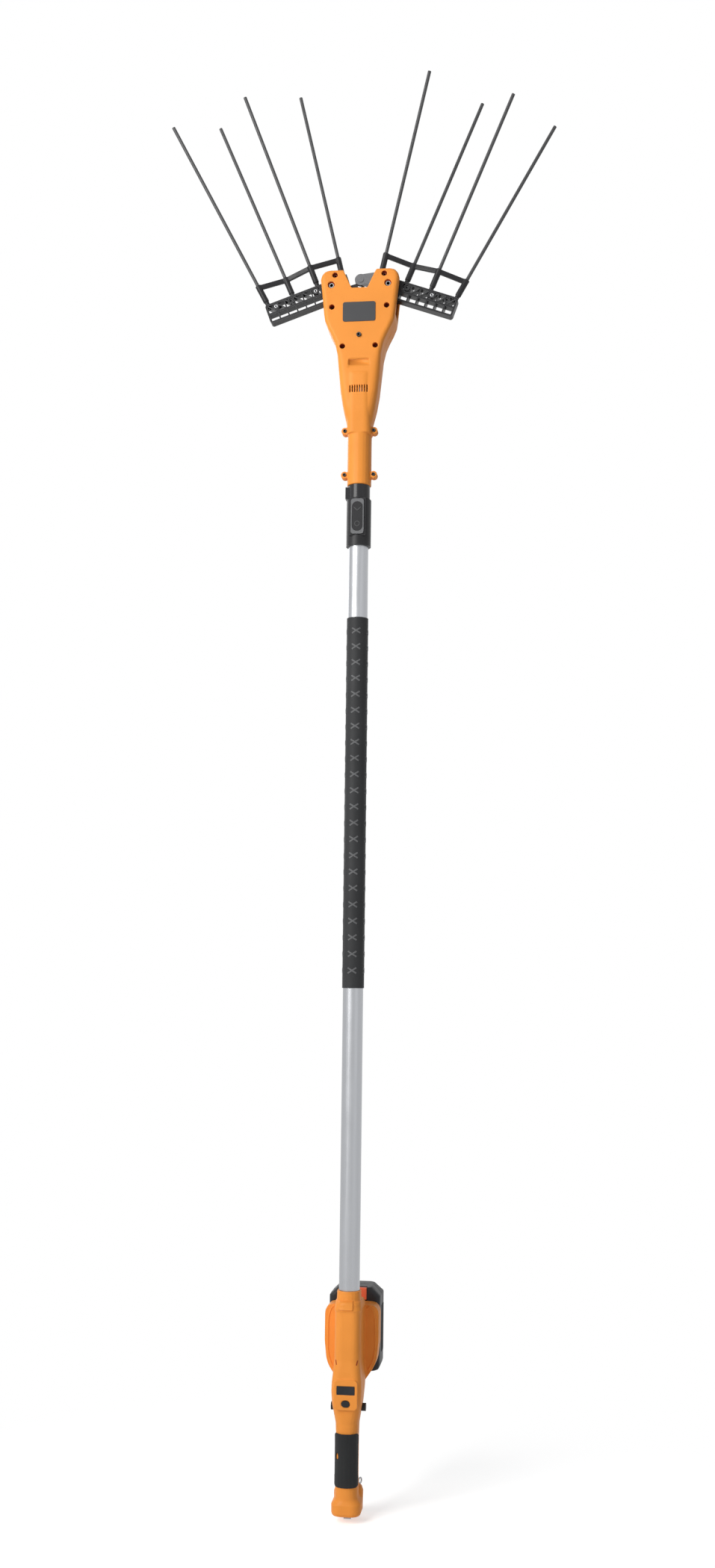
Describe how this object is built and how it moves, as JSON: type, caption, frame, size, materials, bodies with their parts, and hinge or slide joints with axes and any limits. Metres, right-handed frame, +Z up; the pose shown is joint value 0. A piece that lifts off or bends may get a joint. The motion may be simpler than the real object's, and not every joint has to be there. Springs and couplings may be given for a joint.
{
  "type": "electric olive harvester",
  "caption": "Pole-mounted cordless olive harvester: a forked gear head swings two rod combs, with a quick connector, long pole and a handle carrying a slide-on battery.",
  "frame": {"origin": "on the pole axis at the underside of the handle foot", "axes": "+Z up the pole towards the combs, +X towards the right comb, -Y is the front face with the display"},
  "size_m": [0.5628, 0.1413, 2.0245],
  "materials": {
    "orange_plastic": "moulded, light satin",
    "black_plastic": "moulded, fine grain",
    "aluminium_tube": "drawn, satin anodised",
    "sleeve": "embossed",
    "rubber": "soft, ribbed",
    "steel": "zinc plated",
    "cast": "die cast",
    "brass": "bare",
    "bronze": "sintered",
    "pale_plastic": "moulded",
    "carbon": "pultruded rod",
    "display": "smoked window",
    "board": "printed circuit board",
    "coral_plastic": "moulded",
    "cell": "wrapped cell",
    "plate": "bare plate"
  },
  "bodies": {
    "pole": {"pole_tube": "aluminium_tube", "grip_sleeve": "sleeve", "power_cable": "rubber", "connector_socket": "black_plastic", "release_bezel": "pale_plastic", "rocker_pin": "steel", "socket_contacts": "brass", "handle_front_shell": "orange_plastic", "handle_rear_shell": "orange_plastic", "handle_screws": "steel", "display_window": "display", "rubber_grip": "rubber", "trigger_pin": "steel", "trigger_switch": "black_plastic", "control_board": "board", "strap_tab": "steel", "strap_eye": "steel", "terminal_blades": "brass"},
    "head": {"plug_stem": "black_plastic", "plug_contacts": "brass", "seal_ring": "rubber", "head_front_shell": "orange_plastic", "head_rear_shell": "orange_plastic", "head_screws": "steel", "neck_screws": "steel", "pivot_plates": "steel", "pivot_shafts": "steel", "label_plate": "plate", "motor_can": "steel", "ring_gear": "steel", "gear_cover": "cast", "bearing_block": "cast"},
    "right_comb": {"right_rocker": "cast", "right_bush": "bronze", "right_comb_front": "black_plastic", "right_comb_rear": "black_plastic", "right_tine_frame": "black_plastic", "right_tines": "carbon", "right_comb_screws": "steel", "link_pin": "steel"},
    "left_comb": {"left_rocker": "cast", "left_bush": "bronze", "left_comb_front": "black_plastic", "left_comb_rear": "black_plastic", "left_tine_frame": "black_plastic", "left_tines": "carbon", "left_comb_screws": "steel"},
    "rotor": {"motor_rotor": "steel"},
    "crank": {"crank_shaft": "steel"},
    "planet_a": {"planet_1": "brass"},
    "planet_b": {"planet_2": "brass"},
    "planet_c": {"planet_3": "brass"},
    "release": {"release_rocker": "black_plastic"},
    "finger_trigger": {"trigger": "black_plastic"},
    "lock": {"lock_button": "black_plastic"},
    "power": {"power_button": "black_plastic"},
    "battery": {"battery_case": "black_plastic", "battery_cover": "black_plastic", "battery_cells": "cell"},
    "latch": {"battery_latch": "coral_plastic"}
  },
  "joints": [
    {"name": "head_draw", "type": "slide", "parent": "pole", "child": "head", "axis": [0, 0, 1], "range_m": [0, 0.06]},
    {"name": "right_comb_swing", "type": "hinge", "parent": "head", "child": "right_comb", "pos_m": [0.041, 0, 1.6975], "axis": [0, 1, 0], "range_deg": [-9.5, 9.5]},
    {"name": "left_comb_swing", "type": "hinge", "parent": "head", "child": "left_comb", "pos_m": [-0.041, 0, 1.6975], "axis": [0, 1, 0], "range_deg": [-9.5, 9.5]},
    {"name": "rotor_spin", "type": "hinge", "parent": "head", "child": "rotor", "pos_m": [0, 0, 1.54], "axis": [0, 0, 1], "continuous": true},
    {"name": "crank_spin", "type": "hinge", "parent": "head", "child": "crank", "pos_m": [0, 0, 1.62], "axis": [0, 0, 1], "continuous": true},
    {"name": "planet_a_spin", "type": "hinge", "parent": "crank", "child": "planet_a", "pos_m": [0.0096, 0, 1.571], "axis": [0, 0, 1], "continuous": true},
    {"name": "planet_b_spin", "type": "hinge", "parent": "crank", "child": "planet_b", "pos_m": [-0.0048, 0.00831, 1.571], "axis": [0, 0, 1], "continuous": true},
    {"name": "planet_c_spin", "type": "hinge", "parent": "crank", "child": "planet_c", "pos_m": [-0.0048, -0.00831, 1.571], "axis": [0, 0, 1], "continuous": true},
    {"name": "release_press", "type": "hinge", "parent": "pole", "child": "release", "pos_m": [0, -0.0171, 1.3565], "axis": [1, 0, 0], "range_deg": [0, 3.6], "stiffness_Nm_per_rad": 5},
    {"name": "trigger_pull", "type": "hinge", "parent": "pole", "child": "finger_trigger", "pos_m": [0, 0.013, 0.12283], "axis": [-1, 0, 0], "range_deg": [0, 7], "stiffness_Nm_per_rad": 2},
    {"name": "lock_push", "type": "slide", "parent": "pole", "child": "lock", "axis": [1, 0, 0], "range_m": [-0.0025, 0.0025], "stiffness_N_per_m": 1500},
    {"name": "power_press", "type": "slide", "parent": "pole", "child": "power", "axis": [0, 1, 0], "range_m": [0, 0.0008], "stiffness_N_per_m": 1500},
    {"name": "battery_slide", "type": "slide", "parent": "pole", "child": "battery", "axis": [0, 0, 1], "range_m": [0, 0.1]},
    {"name": "latch_press", "type": "slide", "parent": "battery", "child": "latch", "axis": [0, 0, -1], "range_m": [0, 0.0028], "stiffness_N_per_m": 2500}
  ],
  "couplings": [
    {"joint": "left_comb_swing", "follows": "right_comb_swing", "ratio": -1},
    {"joint": "crank_spin", "follows": "rotor_spin", "ratio": 0.25},
    {"joint": "planet_a_spin", "follows": "rotor_spin", "ratio": -0.75},
    {"joint": "planet_b_spin", "follows": "rotor_spin", "ratio": -0.75},
    {"joint": "planet_c_spin", "follows": "rotor_spin", "ratio": -0.75}
  ]
}
